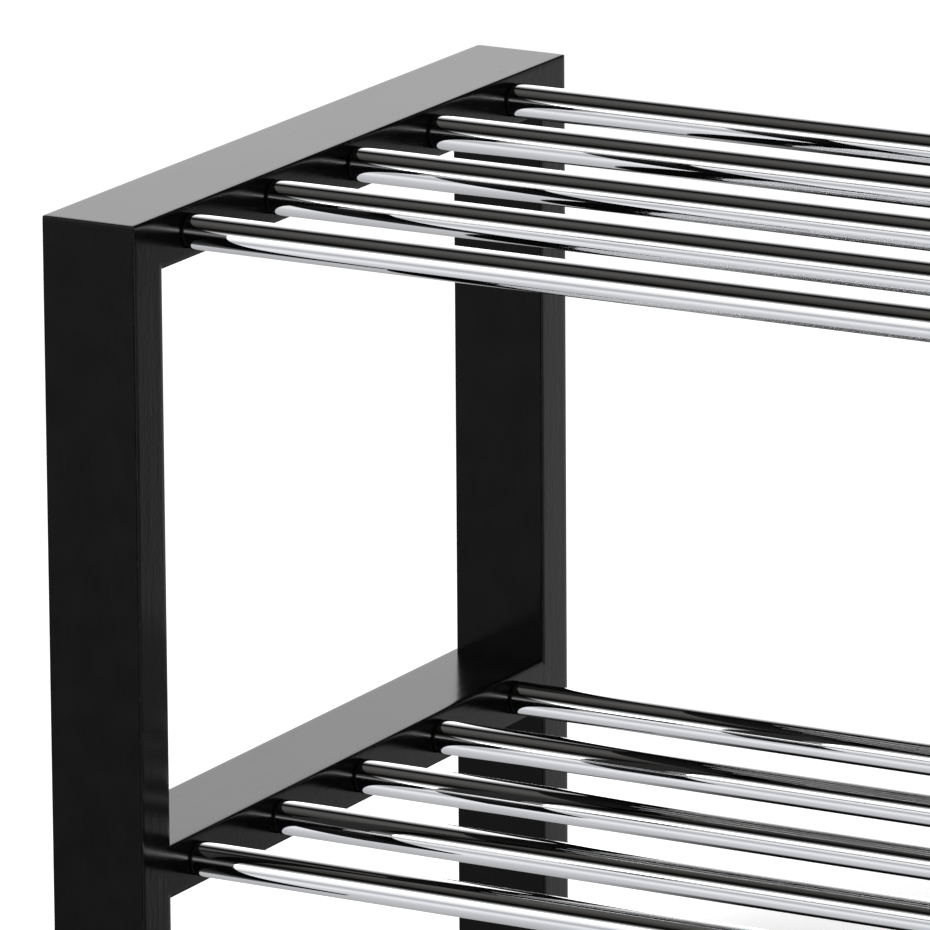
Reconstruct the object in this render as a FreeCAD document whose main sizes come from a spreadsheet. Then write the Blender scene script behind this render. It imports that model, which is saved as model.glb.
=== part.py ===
"""Two-tier shoe rack: lacquered wooden side frames joined by chromed steel tubes.

Frame: X runs along the rack, Y from front to rear, Z up. The origin lies on the
floor, under the middle of the rack. Every length is in millimetres.
"""
import FreeCAD, Part

import math
import os
import re
import sys

import Sketcher

# Driving dimensions. Each becomes one aliased cell of the sheet named Sizes.
SIZES = {
    # whole rack
    "overall_length": 790,
    "overall_depth": 320,
    "overall_height": 370,
    "tier_pitch": 235,
    # posts and rails of the side frames, all of one section
    "member_width": 38,
    "member_thickness": 20,
    "edge_break": 0.5,
    # stub tenons of the rails, in the posts
    "tenon_width": 26,
    "tenon_thickness": 10,
    "tenon_length": 12,
    "mortise_end_gap": 0.5,
    # tubes
    "tube_diameter": 13,
    "tube_wall": 1,
    "tube_from_post": 20,
    # moulded plugs between rails and tubes
    "collar_diameter": 12.6,
    "collar_length": 0.8,
    "peg_diameter": 9,
    "peg_length": 10,
    "peg_end_gap": 1,
    "spigot_length": 15,
    "fin_width": 1.8,
    "fit_clearance": 0.05,
    # countersunk bolts that draw the side frames together
    "bolt_diameter": 6,
    "bolt_clearance": 0.2,
    "bolt_grip": 12,
    "head_diameter": 12,
    "head_sink": 0.3,
    "hex_across": 4,
    "hex_depth": 2.2,
    # glides under the posts
    "glide_length": 30,
    "glide_width": 14,
    "glide_thickness": 3,
    "glide_inset": 1,
}
TUBES_PER_TIER = 5
BOLTED_TUBE = TUBES_PER_TIER // 2

# Places worked out from the driving dimensions.
OUTER_FACE = "(overall_length / 2)"
INNER_FACE = "(overall_length / 2 - member_width)"
MEMBER_CENTRE = "(overall_length / 2 - member_width / 2)"
HALF_DEPTH = "(overall_depth / 2)"
POST_INNER = "(overall_depth / 2 - member_thickness)"
POST_SIDES = {"front": -1, "rear": 1}
RAIL_TOP = {"lower": "(overall_height - tier_pitch)", "top": "overall_height"}
TUBE_AXIS = {tier: f"({height} - member_thickness / 2)" for tier, height in RAIL_TOP.items()}
TUBE_BORE = "(tube_diameter - 2 * tube_wall)"
HEAD_CONE = "(head_diameter / 2 - bolt_diameter / 2)"

doc = FreeCAD.newDocument("ShoeRack")
sheet = doc.addObject("Spreadsheet::Sheet", "Sizes")
nodes = []


def fill_sheet():
    for row, (name, value) in enumerate(SIZES.items(), start=1):
        sheet.set(f"A{row}", name)
        sheet.set(f"B{row}", str(value))
        sheet.setAlias(f"B{row}", name)
    doc.recompute()


def in_sheet(text):
    """Turn an expression of plain size names into one that reads the sheet."""
    return re.sub(r"\b[a-z_]+\b(?!\()", lambda word: "Sizes." + word.group(), text)


def bind(thing, **expressions):
    for name, text in expressions.items():
        thing.setExpression(name, in_sheet(text))


def place(thing, x="0", y="0", z="0"):
    for axis, text in zip("xyz", (x, y, z)):
        thing.setExpression(f"Placement.Base.{axis}", in_sheet(text))
    return thing


def as_node(thing):
    """Mark an object as one finished piece of the rack."""
    thing.Label = thing.Name
    nodes.append(thing)
    return thing


def tube_place(index):
    """Y of one tube's axis: the tubes are spread evenly between the posts."""
    share = 2 * index / (TUBES_PER_TIER - 1) - 1
    return f"({share} * ({POST_INNER} - tube_from_post))"


# --- Helpers for sketches, features and primitives ---------------------------------------

def new_sketch(body, name, plane):
    sketch = body.newObject("Sketcher::SketchObject", name)
    support = next(item for item in body.Origin.OriginFeatures if item.Role == plane)
    sketch.AttachmentSupport = [(support, "")]
    sketch.MapMode = "FlatFace"
    return sketch


def draw_outline(sketch, corners):
    """Closed outline through the corners, each a pair of size expressions."""
    first = sketch.GeometryCount
    count = len(corners)
    turn = 2 * math.pi / count
    starts = [FreeCAD.Vector(math.cos(turn * step), math.sin(turn * step), 0) for step in range(count)]
    for step in range(count):
        line = Part.LineSegment(starts[step], starts[(step + 1) % count])
        sketch.addGeometry(line, False)
    for step in range(count):
        following = first + (step + 1) % count
        sketch.addConstraint(Sketcher.Constraint("Coincident", first + step, 2, following, 1))
    for step, (across, along) in enumerate(corners):
        start = starts[step]
        for kind, text, value in (("DistanceX", across, start.x), ("DistanceY", along, start.y)):
            rule = sketch.addConstraint(Sketcher.Constraint(kind, -1, 1, first + step, 1, value))
            sketch.setExpression(f"Constraints[{rule}]", in_sheet(text))


def draw_rectangle(sketch, half_across, half_along):
    draw_outline(sketch, [
        (f"-({half_across})", f"-({half_along})"),
        (half_across, f"-({half_along})"),
        (half_across, half_along),
        (f"-({half_across})", half_along),
    ])


def draw_circle(sketch, diameter):
    centre = FreeCAD.Vector(0, 0, 0)
    circle = sketch.addGeometry(Part.Circle(centre, FreeCAD.Vector(0, 0, 1), 1), False)
    sketch.addConstraint(Sketcher.Constraint("Coincident", circle, 3, -1, 1))
    rule = sketch.addConstraint(Sketcher.Constraint("Diameter", circle, 2))
    sketch.setExpression(f"Constraints[{rule}]", in_sheet(diameter))


def draw_cross(sketch, diameter):
    """Four fins whose tips' corners lie on a circle of this diameter."""
    side = "(fin_width / 2)"
    tip = f"sqrt(({diameter} / 2) ^ 2 - {side} ^ 2)"
    quarter = [(tip, f"-{side}"), (tip, side), (side, side)]
    corners = []
    for _ in range(4):
        corners += quarter
        quarter = [(f"-({along})", across) for across, along in quarter]
    draw_outline(sketch, corners)


def pad(body, sketch, length, symmetric=False, reversed_side=False):
    feature = body.newObject("PartDesign::Pad", f"{sketch.Name}_pad")
    feature.Profile = sketch
    feature.SideType = "Symmetric" if symmetric else "One side"
    feature.Reversed = reversed_side
    bind(feature, Length=length)
    return feature


def turned_body(name, corners):
    """Body turned about X from half of its section, as (x, radius) corners."""
    body = doc.addObject("PartDesign::Body", name)
    section = new_sketch(body, f"{name}_section", "XY_Plane")
    draw_outline(section, corners)
    feature = body.newObject("PartDesign::Revolution", f"{name}_turned")
    feature.Profile = section
    feature.ReferenceAxis = (section, ["H_Axis"])
    feature.Angle = 360
    return body


def box(name, length, width, height):
    block = doc.addObject("Part::Box", name)
    bind(block, Length=length, Width=width, Height=height)
    return block


def bore(name, diameter, length):
    """Drill that starts at its place and runs towards -X."""
    cylinder = doc.addObject("Part::Cylinder", name)
    cylinder.Placement.Rotation = FreeCAD.Rotation(FreeCAD.Vector(0, 1, 0), -90)
    bind(cylinder, Radius=f"({diameter}) / 2", Height=length)
    return cylinder


def boolean(kind, name, base, tool):
    result = doc.addObject(kind, name)
    result.Base = base
    result.Tool = tool
    return result


def fusion(name, pieces):
    result = doc.addObject("Part::MultiFuse", name)
    result.Shapes = pieces
    return result


def group(name, pieces):
    """Like pieces that share one node as separate solids."""
    result = doc.addObject("Part::Compound", name)
    result.Links = pieces
    return as_node(result)


def mirror_to_right(piece):
    """The same piece at the right-hand end of the rack."""
    copy = doc.addObject("Part::Mirroring", piece.Name.replace("left", "right"))
    copy.Source = piece
    copy.Base = FreeCAD.Vector(0, 0, 0)
    copy.Normal = FreeCAD.Vector(1, 0, 0)
    return as_node(copy)


# --- Side frame: two posts and two rails, tenoned together ---------------------------------

def broken_edges(shape):
    """Edges sanded off the frame: round both broad faces and across the two top corners."""
    bounds = shape.BoundBox
    names = []
    for number, edge in enumerate(shape.Edges, start=1):
        extent = edge.BoundBox
        crosses = extent.XLength > 1e-6
        on_top = extent.ZMin > bounds.ZMax - 1e-6
        under_foot = extent.ZMax < bounds.ZMin + 1e-6
        if (crosses and on_top) or not (crosses or under_foot):
            names.append(f"Edge{number}")
    return names


def make_frame_blank():
    """Whole side frame as it is sanded and lacquered, before it is told apart."""
    body = doc.addObject("PartDesign::Body", "left_frame_blank")
    sketch = new_sketch(body, "left_frame_outline", "YZ_Plane")
    lower_underside = f"{RAIL_TOP['lower']} - member_thickness"
    draw_outline(sketch, [
        (POST_INNER, lower_underside),
        (POST_INNER, "glide_thickness"),
        (HALF_DEPTH, "glide_thickness"),
        (HALF_DEPTH, "overall_height"),
        (f"-{HALF_DEPTH}", "overall_height"),
        (f"-{HALF_DEPTH}", "glide_thickness"),
        (f"-{POST_INNER}", "glide_thickness"),
        (f"-{POST_INNER}", lower_underside),
    ])
    draw_outline(sketch, [
        (f"-{POST_INNER}", RAIL_TOP["lower"]),
        (POST_INNER, RAIL_TOP["lower"]),
        (POST_INNER, "overall_height - member_thickness"),
        (f"-{POST_INNER}", "overall_height - member_thickness"),
    ])
    slab = pad(body, sketch, "member_width", symmetric=True)
    doc.recompute()
    sanding = body.newObject("PartDesign::Chamfer", "left_frame_edges")
    sanding.Base = (slab, broken_edges(slab.Shape))
    bind(sanding, Size="edge_break")
    return place(body, x=f"-{MEMBER_CENTRE}")


def tenon_bar(name, tier, clearance, end_gap):
    """Bar along a rail whose ends are its two tenons, or the mortises with a clearance."""
    reach = f"({POST_INNER} + tenon_length + {end_gap})"
    bar = box(
        name,
        f"tenon_width + 2 * {clearance}",
        f"2 * {reach}",
        f"tenon_thickness + 2 * {clearance}",
    )
    return place(
        bar,
        x=f"-{MEMBER_CENTRE} - tenon_width / 2 - {clearance}",
        y=f"-{reach}",
        z=f"{TUBE_AXIS[tier]} - tenon_thickness / 2 - {clearance}",
    )


def make_posts(blank):
    mortises = fusion("left_mortises", [
        tenon_bar(f"left_{tier}_mortise", tier, "fit_clearance", "mortise_end_gap")
        for tier in RAIL_TOP
    ])
    posts = []
    for end, corner_y in (("front", f"-{HALF_DEPTH}"), ("rear", POST_INNER)):
        name = f"left_{end}_post"
        region = box(f"{name}_region", "member_width", "member_thickness", "overall_height")
        place(region, x=f"-{OUTER_FACE}", y=corner_y)
        share = boolean("Part::Common", f"{name}_share", blank, region)
        posts.append(as_node(boolean("Part::Cut", name, share, mortises)))
    return posts


def make_rail_bores(tier):
    """Blind peg bores of one rail, and the countersunk hole of its bolt."""
    bores = []
    for index in range(TUBES_PER_TIER):
        name = f"left_{tier}_bore_{index + 1}"
        at = {"y": tube_place(index), "z": TUBE_AXIS[tier]}
        if index != BOLTED_TUBE:
            peg = bore(name, "peg_diameter + 2 * fit_clearance", "peg_length + peg_end_gap")
            bores.append(place(peg, x=f"-{INNER_FACE}", **at))
            continue
        shank = bore(name, "bolt_diameter + 2 * bolt_clearance", "member_width")
        place(shank, x=f"-{INNER_FACE}", **at)
        countersink = doc.addObject("Part::Cone", f"{name}_countersink")
        countersink.Placement.Rotation = FreeCAD.Rotation(FreeCAD.Vector(0, 1, 0), 90)
        rim = "(head_diameter / 2 + head_sink + fit_clearance)"
        bind(countersink, Radius1=rim, Radius2="0", Height=rim)
        place(countersink, x=f"-{OUTER_FACE}", **at)
        bores += [shank, countersink]
    return fusion(f"left_{tier}_bores", bores)


def make_rail(blank, tier):
    name = f"left_{tier}_rail"
    region = box(f"{name}_region", "member_width", f"2 * {POST_INNER}", "member_thickness")
    place(
        region,
        x=f"-{OUTER_FACE}",
        y=f"-{POST_INNER}",
        z=f"{RAIL_TOP[tier]} - member_thickness",
    )
    share = boolean("Part::Common", f"{name}_share", blank, region)
    tenoned = fusion(f"{name}_tenoned", [share, tenon_bar(f"left_{tier}_tenons", tier, "0", "0")])
    return as_node(boolean("Part::Cut", name, tenoned, make_rail_bores(tier)))


# --- Tubes and their end plugs ---------------------------------------------------------------

def make_tube(tier, index):
    """Chromed tube that runs from collar to collar."""
    body = doc.addObject("PartDesign::Body", f"{tier}_tube_{index + 1}")
    sketch = new_sketch(body, f"{body.Name}_ring", "YZ_Plane")
    draw_circle(sketch, "tube_diameter")
    draw_circle(sketch, TUBE_BORE)
    pad(body, sketch, f"2 * ({INNER_FACE} - collar_length)", symmetric=True)
    place(body, y=tube_place(index), z=TUBE_AXIS[tier])
    return as_node(body)


def make_end_plug(tier, index):
    """Moulded plug: thin collar between rail and tube, finned peg in the rail, spigot in the tube.

    The plug of the bolted tube has no peg: its square spigot takes the bolt's thread.
    """
    body = doc.addObject("PartDesign::Body", f"left_{tier}_plug_{index + 1}")
    bolted = index == BOLTED_TUBE
    spigot_diameter = f"({TUBE_BORE} - 2 * fit_clearance)"
    thread = "bolt_diameter + 2 * fit_clearance"
    collar = new_sketch(body, f"{body.Name}_collar", "YZ_Plane")
    draw_circle(collar, "collar_diameter")
    if bolted:
        draw_circle(collar, thread)
    pad(body, collar, "collar_length")
    spigot = new_sketch(body, f"{body.Name}_spigot", "YZ_Plane")
    spigot.setExpression("AttachmentOffset.Base.z", in_sheet("collar_length"))
    if bolted:
        half_side = f"{spigot_diameter} / {2 * math.sqrt(2)}"
        draw_rectangle(spigot, half_side, half_side)
        draw_circle(spigot, thread)
    else:
        draw_cross(spigot, spigot_diameter)
    pad(body, spigot, "spigot_length")
    if not bolted:
        peg = new_sketch(body, f"{body.Name}_peg", "YZ_Plane")
        draw_cross(peg, "peg_diameter")
        pad(body, peg, "peg_length", reversed_side=True)
    return place(body, x=f"-{INNER_FACE}", y=tube_place(index), z=TUBE_AXIS[tier])


# --- Bolts -------------------------------------------------------------------------------------

def make_bolt(tier):
    """Countersunk bolt from the outer face, through the rail and into the plug's spigot."""
    name = f"left_{tier}_bolt"
    reach = "(member_width - head_sink + collar_length + bolt_grip)"
    blank = turned_body(f"{name}_blank", [
        ("0", "0"),
        ("0", "head_diameter / 2"),
        (HEAD_CONE, "bolt_diameter / 2"),
        (reach, "bolt_diameter / 2"),
        (reach, "0"),
    ])
    key = doc.addObject("Part::Prism", f"{name}_hex")
    key.Polygon = 6
    key.Placement.Rotation = FreeCAD.Rotation(FreeCAD.Vector(0, 1, 0), 90)
    bind(key, Circumradius=f"hex_across / {math.sqrt(3)}", Height="hex_depth")
    for item in (blank, key):
        place(item, f"head_sink - {OUTER_FACE}", tube_place(BOLTED_TUBE), TUBE_AXIS[tier])
    return boolean("Part::Cut", name, blank, key)


# --- Glides ------------------------------------------------------------------------------------

def make_glide(end):
    """Plastic glide stuck under one post, narrower at the floor."""
    glide = doc.addObject("Part::Wedge", f"left_{end}_glide")
    glide.Placement.Rotation = FreeCAD.Rotation(FreeCAD.Vector(1, 0, 0), 90)
    half_length = "glide_length / 2"
    half_width = "glide_width / 2"
    bind(
        glide,
        Ymin="0",
        Xmin=f"glide_inset - {half_length}",
        Xmax=f"{half_length} - glide_inset",
        Zmin=f"glide_inset - {half_width}",
        Zmax=f"{half_width} - glide_inset",
        Ymax="glide_thickness",
        X2min=f"-{half_length}",
        X2max=half_length,
        Z2min=f"-{half_width}",
        Z2max=half_width,
    )
    place(
        glide,
        x=f"-{MEMBER_CENTRE}",
        y=f"{POST_SIDES[end]} * ({HALF_DEPTH} - member_thickness / 2)",
    )
    return as_node(glide)


# --- Whole rack --------------------------------------------------------------------------------

def make_rack():
    blank = make_frame_blank()
    left_pieces = make_posts(blank)
    left_pieces += [make_rail(blank, tier) for tier in RAIL_TOP]
    for tier in TUBE_AXIS:
        plugs = []
        for index in range(TUBES_PER_TIER):
            make_tube(tier, index)
            plugs.append(make_end_plug(tier, index))
        left_pieces.append(group(f"left_{tier}_plugs", plugs))
    left_pieces.append(group("left_bolts", [make_bolt(tier) for tier in RAIL_TOP]))
    left_pieces += [make_glide(end) for end in POST_SIDES]
    for piece in left_pieces:
        mirror_to_right(piece)


def check_and_export():
    failed = [item.Name for item in doc.Objects if {"Invalid", "Error"} & set(item.State)]
    for node in nodes:
        if node.Shape.isNull() or not node.Shape.isValid() or not node.Shape.Solids:
            failed.append(node.Name)
    if failed:
        sys.exit("These objects failed: " + ", ".join(sorted(set(failed))))
    os.makedirs("parts", exist_ok=True)
    for node in nodes:
        node.Shape.exportStep(f"parts/{node.Label}.step")


fill_sheet()
make_rack()
doc.recompute()
check_and_export()
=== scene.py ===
"""Two-tier shoe rack: black lacquered side frames joined by chromed steel tubes."""
import math

import bmesh
import bpy
from mathutils import Matrix, Quaternion, Vector


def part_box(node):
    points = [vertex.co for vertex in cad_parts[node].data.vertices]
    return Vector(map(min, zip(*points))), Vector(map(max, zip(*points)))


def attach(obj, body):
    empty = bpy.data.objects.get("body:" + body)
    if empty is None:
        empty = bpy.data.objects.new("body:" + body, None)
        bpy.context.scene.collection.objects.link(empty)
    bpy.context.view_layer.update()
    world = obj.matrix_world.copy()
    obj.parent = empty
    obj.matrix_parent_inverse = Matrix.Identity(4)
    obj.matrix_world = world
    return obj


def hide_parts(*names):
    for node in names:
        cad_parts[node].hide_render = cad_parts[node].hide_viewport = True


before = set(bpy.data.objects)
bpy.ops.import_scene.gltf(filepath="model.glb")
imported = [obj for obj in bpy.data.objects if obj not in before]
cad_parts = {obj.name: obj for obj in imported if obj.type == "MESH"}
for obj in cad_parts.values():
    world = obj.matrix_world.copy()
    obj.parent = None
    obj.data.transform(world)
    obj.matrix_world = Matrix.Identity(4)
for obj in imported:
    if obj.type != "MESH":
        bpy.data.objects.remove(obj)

bpy.context.view_layer.update()

MM = 0.001
SIDES = ("left", "right")
TIERS = ("lower", "top")
ENDS = ("front", "rear")
TUBES = range(1, 6)
BOLTED_TUBE = 3


def in_scene(name, data):
    """New object of the scene with this data."""
    thing = bpy.data.objects.new(name, data)
    bpy.context.scene.collection.objects.link(thing)
    return thing


def as_mesh(name, bm):
    """Mesh of this name made from a bmesh, which is used up."""
    mesh = bpy.data.meshes.new(name)
    bm.to_mesh(mesh)
    bm.free()
    return mesh


# --- Camera ------------------------------------------------------------------------------

CAMERA_AZIMUTH = math.radians(29.323)
CAMERA_ELEVATION = math.radians(14.704)
CAMERA_ROLL = math.radians(-0.386)
CAMERA_DISTANCE = 3.7564
CAMERA_LENS = 407.18
# Where the camera aims, in metres from the top front corner of the left side frame.
AIM_FROM_CORNER = Vector((0.14256, 0.05380, -0.08731))


def make_camera():
    """Long lens on the left end of the rack."""
    lowest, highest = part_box("left_front_post")
    corner = Vector((lowest.x, lowest.y, highest.z))
    back = Vector((
        math.sin(CAMERA_AZIMUTH) * math.cos(CAMERA_ELEVATION),
        -math.cos(CAMERA_AZIMUTH) * math.cos(CAMERA_ELEVATION),
        math.sin(CAMERA_ELEVATION),
    ))
    camera = in_scene("camera", bpy.data.cameras.new("camera"))
    camera.data.lens = CAMERA_LENS
    camera.location = corner + AIM_FROM_CORNER + back * CAMERA_DISTANCE
    camera.rotation_mode = "QUATERNION"
    level = (-back).to_track_quat("-Z", "Y")
    camera.rotation_quaternion = level @ Quaternion((0, 0, 1), CAMERA_ROLL)
    bpy.context.scene.camera = camera


# --- Shader sums -------------------------------------------------------------------------

class Socket:
    """Output of a shader node; sums on it add Math nodes."""

    def __init__(self, tree, output):
        self.tree = tree
        self.output = output

    def sum(self, operation, first, second):
        """Math node on two values, of which either may be a number."""
        return self.tree.node("ShaderNodeMath", {"operation": operation}, {0: first, 1: second})

    def __add__(self, other):
        return self.sum("ADD", self, other)

    def __sub__(self, other):
        return self.sum("SUBTRACT", self, other)

    def __rsub__(self, other):
        return self.sum("SUBTRACT", other, self)

    def __mul__(self, other):
        return self.sum("MULTIPLY", self, other)

    __radd__ = __add__
    __rmul__ = __mul__


class Tree:
    """Node tree of one material or of the world."""

    def __init__(self, owner):
        owner.use_nodes = True
        self.nodes = owner.node_tree.nodes
        self.links = owner.node_tree.links
        self.nodes.clear()

    def node(self, kind, settings=None, inputs=None, output=0):
        """Adds a node: its settings first, then the values or links of its sockets."""
        made = self.nodes.new(kind)
        for name, value in (settings or {}).items():
            if name == "stops":
                set_ramp(made.color_ramp, value)
            else:
                setattr(made, name, value)
        for name, value in (inputs or {}).items():
            if isinstance(value, Socket):
                self.links.new(value.output, made.inputs[name])
            else:
                made.inputs[name].default_value = value
        return Socket(self, made.outputs[output]) if made.outputs else None

    def mixed(self, factor, first, second):
        """Colour between two, the second at a factor of 1."""
        return self.node(
            "ShaderNodeMix", {"data_type": "RGBA"}, {0: factor, 6: first, 7: second}, output=2
        )

    def scaled(self, vector, factors):
        """Vector with each axis times its factor."""
        return self.node(
            "ShaderNodeVectorMath", {"operation": "MULTIPLY"}, {0: vector, 1: factors}
        )

    def noise(self, vector, scale, detail=2.0):
        """Soft noise of this many cells to the metre, from 0 to 1."""
        return self.node(
            "ShaderNodeTexNoise", None, {"Vector": vector, "Scale": scale, "Detail": detail}
        )

    def spread(self, value, low, high, to_low=0.0, to_high=1.0):
        """Maps low..high of a value smoothly on to another range."""
        limits = {"From Min": low, "From Max": high, "To Min": to_low, "To Max": to_high}
        return self.node(
            "ShaderNodeMapRange",
            {"interpolation_type": "SMOOTHSTEP"},
            {"Value": value, **limits},
        )

    def ramp(self, factor, stops):
        """Colour at a share from 0 to 1, from (share, colour) stops."""
        return self.node("ShaderNodeValToRGB", {"stops": stops}, {"Fac": factor})

    def bump(self, height, distance):
        """Normal of a relief whose height of 1 stands this many metres high."""
        return self.node(
            "ShaderNodeBump", None, {"Height": height, "Distance": distance, "Strength": 1.0}
        )


def set_ramp(ramp, stops):
    """Gives a colour ramp its stops, each a place from 0 to 1 and a colour."""
    while len(ramp.elements) > 1:
        ramp.elements.remove(ramp.elements[-1])
    ramp.elements[0].position, ramp.elements[0].color = stops[0]
    for place, colour in stops[1:]:
        ramp.elements.new(place).color = colour


def grey(level, warmth=0.0):
    """Colour of this brightness; warmth above 0 takes it towards straw, below 0 towards sky."""
    return (level * (1 + warmth), level * (1 + warmth / 2), level * (1 - warmth), 1.0)


def new_material(name, surface, **finish):
    """Material: surface(tree, where) gives its varying sockets, finish the plain ones."""
    material = bpy.data.materials.new(name)
    tree = Tree(material)
    where = tree.node("ShaderNodeTexCoord", output="Object")
    inputs = surface(tree, where)
    inputs.update(finish)
    shader = tree.node("ShaderNodeBsdfPrincipled", None, inputs)
    tree.node("ShaderNodeOutputMaterial", None, {"Surface": shader})
    return material


# --- Finishes ----------------------------------------------------------------------------

# Refractive indices. The lacquer's is under a real resin's, to keep its gloss faint.
LACQUER_IOR = 1.23
PLUG_IOR = 1.4
GLIDE_IOR = 1.45

# How much a noise is drawn out along each axis.
GRAIN_ALONG_Y = (1.0, 0.06, 1.0)
GRAIN_ALONG_Z = (1.0, 1.0, 0.06)
SCUFFS_ALONG_Z = (1.0, 1.0, 0.25)
LINES_ALONG_X = (0.02, 1.0, 1.0)
RIPPLE_ALONG_X = (0.25, 1.0, 1.0)
SCRAPES_ALONG_X = (0.2, 1.0, 1.0)

# Heights of each finish's relief, in metres.
LACQUER_RELIEF = 0.00003
CHROME_RELIEF = 0.000004
PLUG_RELIEF = 0.00001
BOLT_RELIEF = 0.00001
GLIDE_RELIEF = 0.00003


def make_lacquer(name, grain_run):
    """Black lacquer on close-grained wood, with the grain along its member."""

    def surface(tree, where):
        along = tree.scaled(where, grain_run)
        pores = tree.noise(along, scale=1100.0, detail=3.0)
        streaks = tree.noise(along, scale=320.0, detail=2.0)
        peel = tree.noise(where, scale=420.0, detail=1.0)
        clouds = tree.noise(where, scale=70.0, detail=5.0)
        handled = tree.noise(where, scale=14.0, detail=3.0)
        rubbed = tree.node("ShaderNodeAttribute", {"attribute_name": "rounded"}, output="Fac")
        worn = rubbed * tree.spread(tree.noise(where, scale=260.0, detail=4.0), 0.5, 0.72)
        marks = tree.noise(tree.scaled(where, SCUFFS_ALONG_Z), scale=120.0, detail=6.0)
        scuffs = tree.spread(marks, 0.7, 0.78)
        tone = tree.spread(clouds * 0.6 + pores * 0.4, 0.3, 0.7)
        colour = tree.mixed(tone, grey(0.0001), grey(0.0024, 0.02))
        colour = tree.mixed(worn, colour, grey(0.012, 0.1))
        roughness = 0.13 + handled * 0.07 + worn * 0.15 + scuffs * 0.12
        height = peel * 0.45 + streaks * 0.6 + pores * 0.3 - scuffs * 0.5
        return {
            "Base Color": colour,
            "Roughness": roughness,
            "Normal": tree.bump(height, LACQUER_RELIEF),
        }

    return new_material(name, surface, IOR=LACQUER_IOR)


def make_chrome():
    """Bright chrome plate, with faint drawn lines along the tube."""

    def surface(tree, where):
        lines = tree.noise(tree.scaled(where, LINES_ALONG_X), scale=2600.0, detail=2.0)
        cloud = tree.noise(where, scale=26.0, detail=3.0)
        ripple = tree.noise(tree.scaled(where, RIPPLE_ALONG_X), scale=90.0, detail=1.0)
        return {
            "Base Color": tree.mixed(cloud, grey(0.90, -0.01), grey(0.96)),
            "Roughness": 0.02 + lines * 0.015 + tree.spread(cloud, 0.5, 0.8) * 0.01,
            "Normal": tree.bump(ripple, CHROME_RELIEF),
        }

    return new_material("chrome_plate", surface, Metallic=1.0)


def make_plug_plastic():
    """Black moulded plastic with a bright skin."""

    def surface(tree, where):
        flow = tree.noise(where, scale=120.0, detail=3.0)
        return {
            "Base Color": tree.mixed(flow, grey(0.004), grey(0.009)),
            "Roughness": 0.16 + flow * 0.12,
            "Normal": tree.bump(tree.noise(where, scale=900.0), PLUG_RELIEF),
        }

    return new_material("moulded_black", surface, IOR=PLUG_IOR)


def make_bolt_steel():
    """Zinc-plated steel, blotched and finely grained."""

    def surface(tree, where):
        blotch = tree.noise(where, scale=500.0, detail=3.0)
        fine = tree.noise(where, scale=6000.0, detail=1.0)
        return {
            "Base Color": tree.mixed(blotch, grey(0.42, 0.02), grey(0.60, -0.02)),
            "Roughness": 0.22 + blotch * 0.18,
            "Normal": tree.bump(fine, BOLT_RELIEF),
        }

    return new_material("zinc_plate", surface, Metallic=1.0)


def make_glide_plastic():
    """Satin black plastic with a fine spark-eroded grain."""

    def surface(tree, where):
        grain = tree.noise(where, scale=1800.0, detail=2.0)
        scraped = tree.noise(tree.scaled(where, SCRAPES_ALONG_X), scale=500.0, detail=3.0)
        return {
            "Base Color": tree.mixed(scraped, grey(0.008), grey(0.022)),
            "Roughness": 0.5 + scraped * 0.2,
            "Normal": tree.bump(grain, GLIDE_RELIEF),
        }

    return new_material("glide_black", surface, IOR=GLIDE_IOR)


# Each finish's material and the slot of the record that it fills.
FINISHES = {
    "upright_lacquer": (make_lacquer("upright_lacquer", GRAIN_ALONG_Z), "black_lacquer"),
    "level_lacquer": (make_lacquer("level_lacquer", GRAIN_ALONG_Y), "black_lacquer"),
    "chrome": (make_chrome(), "chrome_tube"),
    "plug": (make_plug_plastic(), "black_plug"),
    "bolt": (make_bolt_steel(), "bolt_steel"),
    "glide": (make_glide_plastic(), "glide_plastic"),
}

# --- Mesh helpers ------------------------------------------------------------------------

SHARP_ANGLE = math.radians(40)
# A face counts as rounded when its normal is this far from square to the rack.
SLANT = 0.03
# Points closer than this are one point.
TOUCH = 1e-6


def add_piece(name, bm, finish, *nodes):
    """Turns a mesh into a finished piece that stands for its CAD nodes."""
    material, slot = FINISHES[finish]
    bmesh.ops.recalc_face_normals(bm, faces=bm.faces)
    mesh = as_mesh(name, bm)
    mesh.materials.append(material)
    mark_rounded(mesh)
    mesh.shade_smooth()
    mesh.set_sharp_from_angle(angle=SHARP_ANGLE)
    piece = in_scene(name, mesh)
    flat = piece.modifiers.new("keep_faces_flat", "WEIGHTED_NORMAL")
    flat.keep_sharp = True
    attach(piece, "root")
    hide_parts(*nodes)
    return piece


def mark_rounded(mesh):
    """Marks the corners of every face that is not square to the rack, where a finish wears."""
    mark = mesh.attributes.new("rounded", "FLOAT", "CORNER")
    for face in mesh.polygons:
        slant = 1.0 - max(abs(part) for part in face.normal)
        for corner in face.loop_indices:
            mark.data[corner].value = float(slant > SLANT)


def merged(parts):
    """One mesh that holds several."""
    whole = bmesh.new()
    for part in parts:
        mesh = as_mesh("part", part)
        whole.from_mesh(mesh)
        bpy.data.meshes.remove(mesh)
    return whole


def combined(operation, base, tool):
    """Exact boolean of two closed meshes."""
    things = []
    for part in (base, tool):
        bmesh.ops.recalc_face_normals(part, faces=part.faces)
        things.append(in_scene("workpiece", as_mesh("workpiece", part)))
    modifier = things[0].modifiers.new("combine", "BOOLEAN")
    modifier.operation = operation
    modifier.solver = "EXACT"
    modifier.object = things[1]
    result = bmesh.new()
    result.from_object(things[0], bpy.context.evaluated_depsgraph_get())
    for thing in things:
        bpy.data.meshes.remove(thing.data)
    bmesh.ops.remove_doubles(result, verts=result.verts, dist=TOUCH)
    return result


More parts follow.
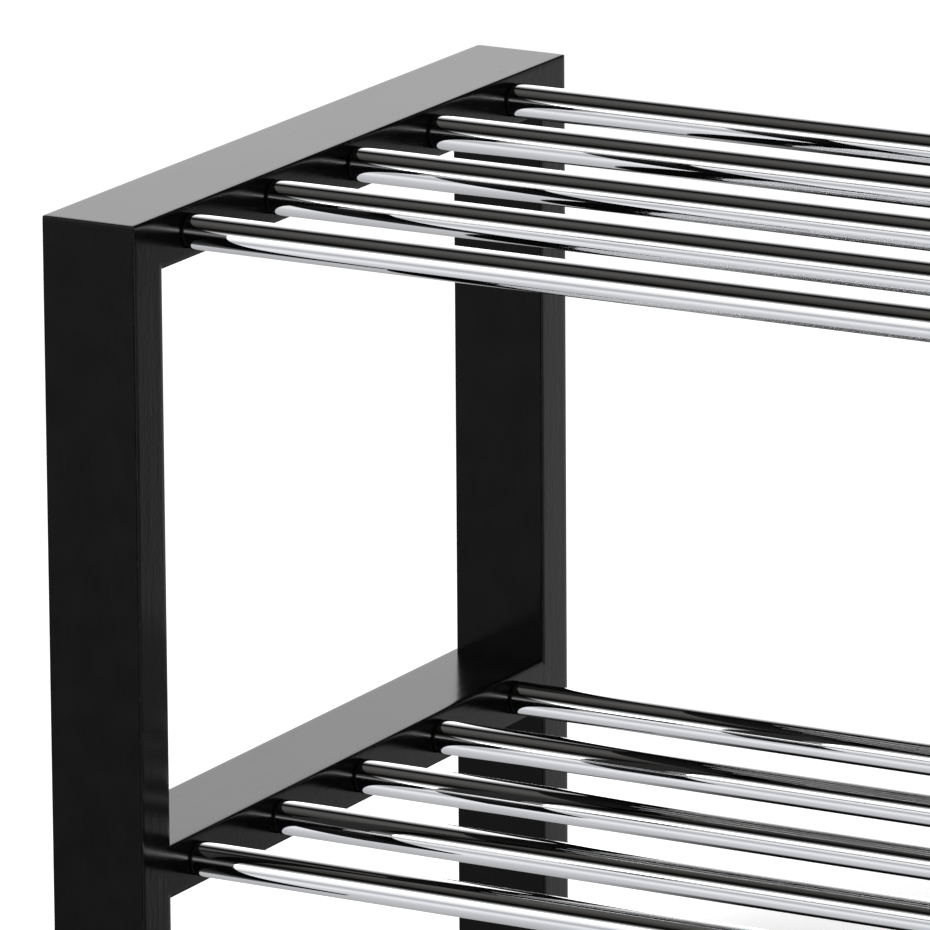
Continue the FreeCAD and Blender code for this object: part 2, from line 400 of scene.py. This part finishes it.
def rounded(corners, steps=4):
    """Outline through corners (across, along, radius), each swept round to its radius."""
    outline = []
    for index, (across, along, radius) in enumerate(corners):
        corner = Vector((across, along))
        if not radius:
            outline.append(corner)
            continue
        arriving = (Vector(corners[index - 1][:2]) - corner).normalized()
        leaving = (Vector(corners[(index + 1) % len(corners)][:2]) - corner).normalized()
        half = arriving.angle(leaving) / 2
        centre = corner + (arriving + leaving).normalized() * radius / math.sin(half)
        spoke = corner + arriving * radius / math.tan(half) - centre
        turn = math.copysign(math.pi - 2 * half, leaving.cross(arriving))
        for step in range(steps + 1):
            outline.append(centre + Matrix.Rotation(turn * step / steps, 2) @ spoke)
    return outline


def turned(section, steps, ring=False):
    """Solid turned about X from (x, radius) points; a ring's section is a closed loop."""
    bm = bmesh.new()
    points = [bm.verts.new((x, radius, 0)) for x, radius in section]
    pairs = list(zip(points, points[1:]))
    if ring:
        pairs.append((points[-1], points[0]))
    edges = [bm.edges.new(pair) for pair in pairs]
    bmesh.ops.spin(
        bm, geom=points + edges, cent=(0, 0, 0), axis=(1, 0, 0), dvec=(0, 0, 0),
        angle=2 * math.pi, steps=steps, use_merge=True,
    )
    bmesh.ops.remove_doubles(bm, verts=bm.verts, dist=TOUCH)
    return bm


def add_walls(bm, rings):
    """Adds the faces between each ring of corners and the next."""
    for near, far in zip(rings, rings[1:]):
        for index in range(len(near)):
            following = (index + 1) % len(near)
            bm.faces.new((near[index], near[following], far[following], far[index]))


def skinned(rings):
    """Closed solid through rings of points, capped at both ends."""
    bm = bmesh.new()
    loops = [[bm.verts.new(point) for point in ring] for ring in rings]
    add_walls(bm, loops)
    bm.faces.new(loops[0])
    bm.faces.new(reversed(loops[-1]))
    return bm


def bar_along_x(outline, stations):
    """Bar whose YZ outline is scaled by its share at each (x, share) station."""
    return skinned([
        [Vector((x, point.x * share, point.y * share)) for point in outline]
        for x, share in stations
    ])


def block(lowest, highest):
    """Plain box between two corners, for tenons and mortises."""
    outline = [
        (lowest.y, lowest.z), (highest.y, lowest.z),
        (highest.y, highest.z), (lowest.y, highest.z),
    ]
    return skinned([[(x, y, z) for y, z in outline] for x in (lowest.x, highest.x)])


def placed(bm, side, y, z):
    """Moves a part made along +X from the left rail's inner face to its own place."""
    inner_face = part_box("left_top_rail")[1].x
    bmesh.ops.translate(bm, verts=bm.verts, vec=(inner_face, 0, 0))
    if side == "right":
        half_turn = Matrix.Rotation(math.pi, 3, "Z")
        bmesh.ops.rotate(bm, verts=bm.verts, cent=(0, 0, 0), matrix=half_turn)
    bmesh.ops.translate(bm, verts=bm.verts, vec=(0, y, z))
    return bm


def tube_axis(tier, number):
    """Y and Z of a tube's axis."""
    lowest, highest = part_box(f"{tier}_tube_{number}")
    middle = (lowest + highest) / 2
    return middle.y, middle.z


# --- Side frames -------------------------------------------------------------------------

# Half of a sanded edge, from the middle of its round to where its face is flat, as the
# distance along the face and the depth below it, in millimetres.
EDGE_PROFILE = (
    (0.20, 0.20), (0.36, 0.115), (0.55, 0.075), (0.85, 0.046), (1.25, 0.024), (1.8, 0.009),
    (2.6, 0.0),
)
TENON_WIDTH = 26 * MM
TENON_THICKNESS = 10 * MM
MORTISE_CLEARANCE = 0.05 * MM
MORTISE_END_GAP = 0.5 * MM
PEG_BORE_RADIUS = 4.55 * MM
PEG_BORE_DEPTH = 11 * MM
BOLT_BORE_RADIUS = 3.2 * MM
COUNTERSINK_RADIUS = 6.35 * MM
BORE_STEPS = 48


def outline_ring(x, corners, inset):
    """One turn of the frame's outline at x, this far inside its faces.

    Corners are (y, z, inward, convex); a convex one is sanded to the edge's profile.
    """
    reach = EDGE_PROFILE[-1][0] * MM
    shrink = 1 - inset / reach
    ring = []
    for y, z, inward, convex in corners:
        steps = [(0.0, 0.0)]
        if convex:
            half = [(along * shrink * MM, depth * shrink * MM) for along, depth in EDGE_PROFILE]
            steps = half[::-1] + [(depth, along) for along, depth in half[1:]]
        ring.append([
            Vector((x, y + inward[0] * (inset + a), z + inward[1] * (inset + b)))
            for a, b in steps
        ])
    return ring


def sanded_tube(bm, stations, corners):
    """Adds the walls that run across the frame round one closed outline."""
    rings = []
    for x, inset in stations:
        ring = outline_ring(x, corners, inset)
        # Each corner's steps run the way that the outline does.
        for index, steps in enumerate(ring):
            before = Vector(corners[index - 1][:2])
            steps.sort(key=lambda point: (Vector(point.yz) - before).length)
        rings.append([bm.verts.new(point) for steps in ring for point in steps])
    add_walls(bm, rings)


def frame_blank(side):
    """Whole side frame with sanded edges, and the depths and heights of its grid."""
    front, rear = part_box(f"{side}_front_post"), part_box(f"{side}_rear_post")
    lower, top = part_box(f"{side}_lower_rail"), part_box(f"{side}_top_rail")
    low_x, high_x = front[0].x, front[1].x
    depths = (front[0].y, front[1].y, rear[0].y, rear[1].y)
    heights = (front[0].z, lower[0].z, lower[1].z, top[0].z, front[1].z)
    # Corners of the grid of depths and heights, and whether each is a convex one.
    outer = [
        (0, 4, True), (0, 0, True), (1, 0, True), (1, 1, False),
        (2, 1, False), (2, 0, True), (3, 0, True), (3, 4, True),
    ]
    window = [(1, 3, False), (2, 3, False), (2, 2, False), (1, 2, False)]
    solid = {
        (column, row) for column in range(3) for row in range(4) if column != 1 or row in (1, 3)
    }
    drops = [(depth * MM, along * MM) for along, depth in EDGE_PROFILE[::-1]]
    drops += [(along * MM, depth * MM) for along, depth in EDGE_PROFILE[1:]]
    stations = [(low_x + drop, inset) for drop, inset in drops]
    stations += [(high_x - drop, inset) for drop, inset in reversed(drops)]
    bm = bmesh.new()
    for loop in (outer, window):
        corners = [
            (depths[column], heights[row], inward(column, row, solid), convex)
            for column, row, convex in loop
        ]
        sanded_tube(bm, stations, corners)
    bmesh.ops.remove_doubles(bm, verts=bm.verts, dist=TOUCH)
    for x in (low_x, high_x):
        rim = [
            edge for edge in bm.edges
            if edge.is_boundary and all(abs(vert.co.x - x) < TOUCH for vert in edge.verts)
        ]
        bmesh.ops.triangle_fill(bm, use_beauty=True, use_dissolve=False, edges=rim)
    bmesh.ops.recalc_face_normals(bm, faces=bm.faces)
    return bm, depths, heights


def inward(column, row, solid):
    """Signs of the step in Y and Z from a grid corner into the frame's solid."""
    around = {
        (y, z): (column + min(y, 0), row + min(z, 0)) in solid for y in (-1, 1) for z in (-1, 1)
    }
    filled = [way for way, full in around.items() if full]
    return tuple(1 if sum(way[axis] for way in filled) > 0 else -1 for axis in (0, 1))


def keep_behind(bm, place, direction):
    """Saws off what lies beyond a plane."""
    everything = bm.verts[:] + bm.edges[:] + bm.faces[:]
    bmesh.ops.bisect_plane(
        bm, geom=everything, plane_co=place, plane_no=direction, dist=TOUCH, clear_outer=True
    )


def close_cuts(bm):
    """Puts a face on each sawn end."""
    open_edges = [edge for edge in bm.edges if edge.is_boundary]
    bmesh.ops.holes_fill(bm, edges=open_edges, sides=0)


def tenon_bar(side, tier, clearance, end_gap):
    """Bar along a rail whose two ends are its tenons."""
    lowest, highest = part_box(f"{side}_{tier}_rail")
    middle = (lowest + highest) / 2
    half = Vector((
        TENON_WIDTH / 2 + clearance,
        (highest.y - lowest.y) / 2 + end_gap,
        TENON_THICKNESS / 2 + clearance,
    ))
    return block(middle - half, middle + half)


def make_post(side, end, blank, depths):
    """Post sawn from the frame's blank, with a blind mortise for each rail."""
    bm = blank.copy()
    if end == "front":
        keep_behind(bm, (0, depths[1], 0), (0, 1, 0))
    else:
        keep_behind(bm, (0, depths[2], 0), (0, -1, 0))
    close_cuts(bm)
    for tier in TIERS:
        mortises = tenon_bar(side, tier, MORTISE_CLEARANCE, MORTISE_END_GAP)
        bm = combined("DIFFERENCE", bm, mortises)
    name = f"{side}_{end}_post"
    add_piece(f"{name}_finished", bm, "upright_lacquer", name)


def rail_drill(bolted):
    """Shape of one bore of a rail, along +X with the rail's inner face at 0."""
    if not bolted:
        return [
            (-PEG_BORE_DEPTH, 0), (-PEG_BORE_DEPTH, PEG_BORE_RADIUS), (MM, PEG_BORE_RADIUS),
            (MM, 0),
        ]
    lowest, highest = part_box("left_top_rail")
    width = highest.x - lowest.x
    rim = COUNTERSINK_RADIUS
    return [
        (-width - MM, 0), (-width - MM, rim + MM),
        (rim - width - BOLT_BORE_RADIUS, BOLT_BORE_RADIUS), (MM, BOLT_BORE_RADIUS), (MM, 0),
    ]


def make_rail(side, tier, blank, depths, heights):
    """Rail sawn from the frame's blank, with its tenons and the bores for plugs and bolt."""
    bm = blank.copy()
    window_middle = (heights[2] + heights[3]) / 2
    keep_behind(bm, (0, depths[1], 0), (0, -1, 0))
    keep_behind(bm, (0, depths[2], 0), (0, 1, 0))
    keep_behind(bm, (0, 0, window_middle), (0, 0, -1 if tier == "top" else 1))
    # The posts' inner walls lie in the planes of the cuts and are left over.
    left_over = [
        face for face in bm.faces
        if any(
            all(abs(vert.co.y - depth) < TOUCH for vert in face.verts) for depth in depths[1:3]
        )
    ]
    bmesh.ops.delete(bm, geom=left_over, context="FACES")
    close_cuts(bm)
    bm = combined("UNION", bm, tenon_bar(side, tier, 0, 0))
    for number in TUBES:
        drill = turned(rail_drill(number == BOLTED_TUBE), BORE_STEPS)
        bm = combined("DIFFERENCE", bm, placed(drill, side, *tube_axis(tier, number)))
    name = f"{side}_{tier}_rail"
    add_piece(f"{name}_finished", bm, "level_lacquer", name)


# --- Tubes -------------------------------------------------------------------------------

TUBE_STEPS = 96
TUBE_WALL = 1 * MM
TUBE_LIP = 0.3 * MM


def make_tube(tier, number):
    """Chromed tube with softened lips at both ends."""
    name = f"{tier}_tube_{number}"
    lowest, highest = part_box(name)
    outer = (highest.y - lowest.y) / 2
    inner = outer - TUBE_WALL
    section = rounded([
        (lowest.x, inner, TUBE_LIP), (lowest.x, outer, TUBE_LIP),
        (highest.x, outer, TUBE_LIP), (highest.x, inner, TUBE_LIP),
    ])
    bm = turned(section, TUBE_STEPS, ring=True)
    y, z = tube_axis(tier, number)
    bmesh.ops.translate(bm, verts=bm.verts, vec=(0, y, z))
    add_piece(f"{name}_finished", bm, "chrome", name)


# --- End plugs ---------------------------------------------------------------------------

COLLAR_RADIUS = 6.3 * MM
COLLAR_LENGTH = 0.8 * MM
COLLAR_ROUND = 0.15 * MM
COLLAR_STEPS = 72
PEG_RADIUS = 4.5 * MM
PEG_LENGTH = 10 * MM
SPIGOT_RADIUS = 5.45 * MM
SPIGOT_LENGTH = 15 * MM
FIN_WIDTH = 1.8 * MM
FIN_ROUND = 0.2 * MM
LEAD_IN = 2 * MM
LEAD_SHARE = 0.88
THREAD_RADIUS = 3.05 * MM


def cross(radius):
    """Outline of four fins."""
    side = FIN_WIDTH / 2
    tip = math.sqrt(radius ** 2 - side ** 2)
    quarter = [(tip, -side, FIN_ROUND), (tip, side, FIN_ROUND), (side, side, 0)]
    corners = []
    for _ in range(4):
        corners += quarter
        quarter = [(-along, across, radius) for across, along, radius in quarter]
    return rounded(corners, steps=2)


def square(radius):
    """Outline of a square whose corners would reach this radius."""
    half = radius / math.sqrt(2)
    corners = [(-half, -half), (half, -half), (half, half), (-half, half)]
    return rounded([(across, along, FIN_ROUND) for across, along in corners])


def make_plug_shape(bolted):
    """End plug along +X from the rail's face: collar, spigot and, unless bolted, a peg."""
    collar = turned(rounded([
        (0, 0, 0), (0, COLLAR_RADIUS, COLLAR_ROUND),
        (COLLAR_LENGTH, COLLAR_RADIUS, COLLAR_ROUND), (COLLAR_LENGTH, 0, 0),
    ]), COLLAR_STEPS)
    inside = COLLAR_LENGTH / 2
    spigot_end = COLLAR_LENGTH + SPIGOT_LENGTH
    outline = square(SPIGOT_RADIUS) if bolted else cross(SPIGOT_RADIUS)
    spigot = bar_along_x(outline, [
        (inside, 1), (spigot_end - LEAD_IN, 1), (spigot_end, LEAD_SHARE),
    ])
    shape = combined("UNION", collar, spigot)
    if bolted:
        thread = turned([
            (-MM, 0), (-MM, THREAD_RADIUS),
            (spigot_end + MM, THREAD_RADIUS), (spigot_end + MM, 0),
        ], BORE_STEPS)
        return combined("DIFFERENCE", shape, thread)
    peg = bar_along_x(cross(PEG_RADIUS), [
        (-PEG_LENGTH, LEAD_SHARE), (LEAD_IN - PEG_LENGTH, 1), (inside, 1),
    ])
    return combined("UNION", shape, peg)


def make_plugs(side, tier, shapes):
    """Five plugs of one rail, as one piece."""
    plugs = [
        placed(shapes[number == BOLTED_TUBE].copy(), side, *tube_axis(tier, number))
        for number in TUBES
    ]
    name = f"{side}_{tier}_plugs"
    add_piece(f"{name}_finished", merged(plugs), "plug", name)


# --- Bolts -------------------------------------------------------------------------------

HEAD_RADIUS = 6 * MM
HEAD_SINK = 0.3 * MM
HEAD_LAND = 0.35 * MM
BOLT_RADIUS = 3 * MM
BOLT_GRIP = 12 * MM
THREAD_ROOT = 2.5 * MM
THREAD_PITCH = 1 * MM
THREADED_LENGTH = 22 * MM
SOCKET_ACROSS = 4 * MM
SOCKET_DEPTH = 2.2 * MM
SOCKET_MOUTH = 0.25 * MM
SOCKET_POINT = 0.05


def make_bolt_shape():
    """Countersunk socket bolt along +X, from its head at the rail's outer face."""
    lowest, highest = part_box("left_top_rail")
    head = lowest.x - highest.x + HEAD_SINK
    tip = COLLAR_LENGTH + BOLT_GRIP
    half_land = HEAD_LAND / 2
    section = [
        (head, 0), (head, HEAD_RADIUS - half_land), (head + half_land, HEAD_RADIUS),
        (head + HEAD_LAND, HEAD_RADIUS - half_land),
        (head + HEAD_RADIUS - BOLT_RADIUS + half_land, BOLT_RADIUS),
    ]
    place = tip - THREADED_LENGTH
    while place < tip - 2 * THREAD_PITCH:
        section += [(place, BOLT_RADIUS), (place + THREAD_PITCH / 2, THREAD_ROOT)]
        place += THREAD_PITCH
    section += [(place, BOLT_RADIUS), (tip, THREAD_ROOT), (tip, 0)]
    bolt = turned(section, BORE_STEPS)
    radius = SOCKET_ACROSS / 2 / math.cos(math.pi / 6)
    hexagon = [
        Vector((radius * math.cos(math.pi / 3 * n), radius * math.sin(math.pi / 3 * n)))
        for n in range(6)
    ]
    mouth_share = 1 + 2 * SOCKET_MOUTH / SOCKET_ACROSS
    socket = bar_along_x(hexagon, [
        (head - MM, mouth_share + MM / radius), (head, mouth_share), (head + SOCKET_MOUTH, 1),
        (head + SOCKET_DEPTH, 1), (head + SOCKET_DEPTH + MM, SOCKET_POINT),
    ])
    return combined("DIFFERENCE", bolt, socket)


def make_bolts(side, shape):
    """Two bolts of one side frame, as one piece."""
    bolts = [placed(shape.copy(), side, *tube_axis(tier, BOLTED_TUBE)) for tier in TIERS]
    name = f"{side}_bolts"
    add_piece(f"{name}_finished", merged(bolts), "bolt", name)


# --- Glides ------------------------------------------------------------------------------

GLIDE_CORNER = 4 * MM
# Height above the floor and inset from the glide's outline, in millimetres.
GLIDE_PROFILE = ((0.0, 1.0), (0.12, 0.62), (0.4, 0.25), (0.9, 0.0), (3.0, 0.0))


def make_glide(side, end):
    """Glide with round corners and a softened sole."""
    name = f"{side}_{end}_glide"
    lowest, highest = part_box(name)
    middle = (lowest + highest) / 2
    half = (highest - lowest) / 2
    rings = []
    for height, inset in GLIDE_PROFILE:
        width, depth = half.x - inset * MM, half.y - inset * MM
        radius = GLIDE_CORNER - inset * MM
        corners = [(-width, -depth), (width, -depth), (width, depth), (-width, depth)]
        outline = rounded([(x, y, radius) for x, y in corners], steps=6)
        rings.append([
            (middle.x + point.x, middle.y + point.y, lowest.z + height * MM)
            for point in outline
        ])
    add_piece(f"{name}_finished", skinned(rings), "glide", name)


# --- Studio ------------------------------------------------------------------------------

FLOOR_HALF = 30.0
FLOOR_WHITE = 1.4
SOFT_LIGHT = 0.62
LAMP_PLACE = Vector((-1.6, -2.2, 2.6))
LAMP_AIM = Vector((0, 0, 0.2))
LAMP_WIDTH = 1.6
LAMP_POWER = 60

# What polished parts see round the rack, as (turn, level, warmth). The turn is about the
# rack's length, in degrees, from the front horizon (0) over the top (90) to the rear
# horizon (180) and under the rack back to the front.
STUDIO_BANDS = (
    (0, 1.1, 0.0), (2, 3.5, 0.0), (12, 5.0, 0.0), (15, 1.0, 0.0), (26, 0.22, 0.0),
    (30, 0.01, 0.0), (43, 0.002, 0.02), (47, 0.026, 0.08), (58, 0.052, 0.06),
    (75, 0.09, 0.04), (88, 0.075, 0.01), (96, 0.006, 0.0), (104, 0.004, 0.0),
    (109, 0.04, 0.0), (115, 0.28, 0.0), (121, 0.5, 0.0), (130, 1.0, 0.0), (150, 1.6, 0.0),
    (160, 2.05, 0.0), (166, 1.76, 0.0), (180, 1.3, 0.0), (198, 1.3, 0.0), (206, 0.37, 0.0),
    (262, 0.5, -0.02), (294, 0.6, -0.03), (306, 0.74, -0.03), (318, 0.92, -0.02),
    (332, 0.5, -0.03), (339, 0.52, -0.03), (344, 0.8, -0.02), (352, 1.0, 0.0),
    (360, 1.1, 0.0),
)
# Where that set ends on the right at each turn, as the X of a direction of length 1.
SET_EDGES = (
    (0, 0.8), (16, 0.8), (30, 0.5), (100, 0.5), (112, -0.2), (176, -0.2), (182, 0.487),
    (204, 0.487), (210, 0.3), (300, 0.3), (318, 0.0), (350, 0.0), (358, 0.8), (360, 0.8),
)
SET_FADE = 0.035
BEYOND_SET = 0.02
# X over which a second set, the first one's like, begins.
SECOND_SET = (0.58, 0.66)

# Painted shade on the floor behind the rack, as polished parts see it: how much of it shows
# at each turn, and the X over which it comes in and goes out again.
PAINTED_REAR_SHADE = ((0, 0.0), (199, 0.0), (202, 1.0), (258, 1.0), (272, 0.0), (360, 0.0))
PAINTED_REAR_SHADE_FROM = (-0.462, -0.444)
PAINTED_REAR_SHADE_TO = (0.25, 0.40)
PAINTED_REAR_SHADE_LEVEL = 0.004


def make_world():
    """Even light for rough surfaces; a white studio with a dark canopy for polished ones."""
    world = bpy.data.worlds.new("studio")
    bpy.context.scene.world = world
    tree = Tree(world)
    seen_by = {
        kind: tree.node("ShaderNodeLightPath", output=f"Is {kind} Ray")
        for kind in ("Camera", "Glossy", "Transmission")
    }
    outward = tree.node("ShaderNodeTexCoord", output="Generated")
    x, y, z = (
        tree.node("ShaderNodeSeparateXYZ", None, {0: outward}, output=axis) for axis in "XYZ"
    )
    turn = tree.node("ShaderNodeMath", {"operation": "ARCTAN2"}, {0: z, 1: y * -1.0})
    turn = tree.node("ShaderNodeMath", {"operation": "WRAP"}, {0: turn, 1: 2 * math.pi, 2: 0.0})
    share = turn * (0.5 / math.pi)
    bands = tree.ramp(
        share, [(degrees / 360, grey(level, warmth)) for degrees, level, warmth in STUDIO_BANDS]
    )
    # A ramp holds no value below 0, so the edges are kept in it as shares from 0 to 1.
    edge = tree.ramp(
        share, [(degrees / 360, grey((limit + 1) / 2)) for degrees, limit in SET_EDGES]
    )
    beyond = tree.spread(x - (edge * 2.0 - 1.0), -SET_FADE, SET_FADE)
    beyond = beyond * tree.spread(x, *SECOND_SET, 1.0, 0.0)
    bands = tree.mixed(beyond, bands, grey(BEYOND_SET))
    # Painted shade: the studio turns dark where polished parts look at the floor behind the
    # rack.
    painted_rear_shade = tree.ramp(share, [(degrees / 360, grey(level)) for degrees, level in PAINTED_REAR_SHADE])
    painted_rear_shade = painted_rear_shade * tree.spread(x, *PAINTED_REAR_SHADE_FROM)
    painted_rear_shade = painted_rear_shade * tree.spread(x, *PAINTED_REAR_SHADE_TO, 1.0, 0.0)
    bands = tree.mixed(painted_rear_shade, bands, grey(PAINTED_REAR_SHADE_LEVEL))
    backdrop = tree.mixed(seen_by["Glossy"], grey(1.0), bands)
    white = tree.node("ShaderNodeBackground", None, {"Color": backdrop, "Strength": 1.0})
    soft = tree.node("ShaderNodeBackground", None, {"Color": grey(1.0), "Strength": SOFT_LIGHT})
    seen = seen_by["Camera"] + seen_by["Glossy"] + seen_by["Transmission"]
    mix = tree.node("ShaderNodeMixShader", None, {0: seen, 1: soft, 2: white})
    tree.node("ShaderNodeOutputWorld", None, {"Surface": mix})


def make_floor():
    """Pale floor that keeps the rack's soft shadow and looks white from the camera."""
    material = bpy.data.materials.new("studio_floor")
    tree = Tree(material)
    camera_ray = tree.node("ShaderNodeLightPath", output="Is Camera Ray")
    where = tree.node("ShaderNodeTexCoord", output="Object")
    mottle = tree.noise(where, scale=3.0)
    pale = tree.mixed(mottle, grey(0.72), grey(0.76))
    colour = tree.mixed(camera_ray, pale, grey(FLOOR_WHITE))
    shader = tree.node("ShaderNodeBsdfDiffuse", None, {"Color": colour})
    tree.node("ShaderNodeOutputMaterial", None, {"Surface": shader})
    bm = bmesh.new()
    bmesh.ops.create_grid(bm, x_segments=8, y_segments=8, size=FLOOR_HALF)
    mesh = as_mesh("studio_floor", bm)
    mesh.materials.append(material)
    floor = in_scene("studio_floor", mesh)
    floor.visible_glossy = False


def make_lamp():
    """Large soft light in front of the left end, which draws the shadow on the floor."""
    light = bpy.data.lights.new("key_softbox", "AREA")
    light.size = LAMP_WIDTH
    light.energy = LAMP_POWER
    lamp = in_scene("key_softbox", light)
    lamp.location = LAMP_PLACE
    lamp.rotation_mode = "QUATERNION"
    lamp.rotation_quaternion = (LAMP_AIM - LAMP_PLACE).to_track_quat("-Z", "Y")
    lamp.visible_camera = False
    lamp.visible_glossy = False


make_camera()
make_world()
make_floor()
make_lamp()

for side in SIDES:
    blank, depths, heights = frame_blank(side)
    for end in ENDS:
        make_post(side, end, blank, depths)
        make_glide(side, end)
    for tier in TIERS:
        make_rail(side, tier, blank, depths, heights)
    blank.free()
for tier in TIERS:
    for number in TUBES:
        make_tube(tier, number)
plug_shapes = {bolted: make_plug_shape(bolted) for bolted in (False, True)}
for side in SIDES:
    for tier in TIERS:
        make_plugs(side, tier, plug_shapes)
bolt_shape = make_bolt_shape()
for side in SIDES:
    make_bolts(side, bolt_shape)

bpy.context.scene.view_settings.view_transform = "Standard"
bpy.context.view_layer.update()
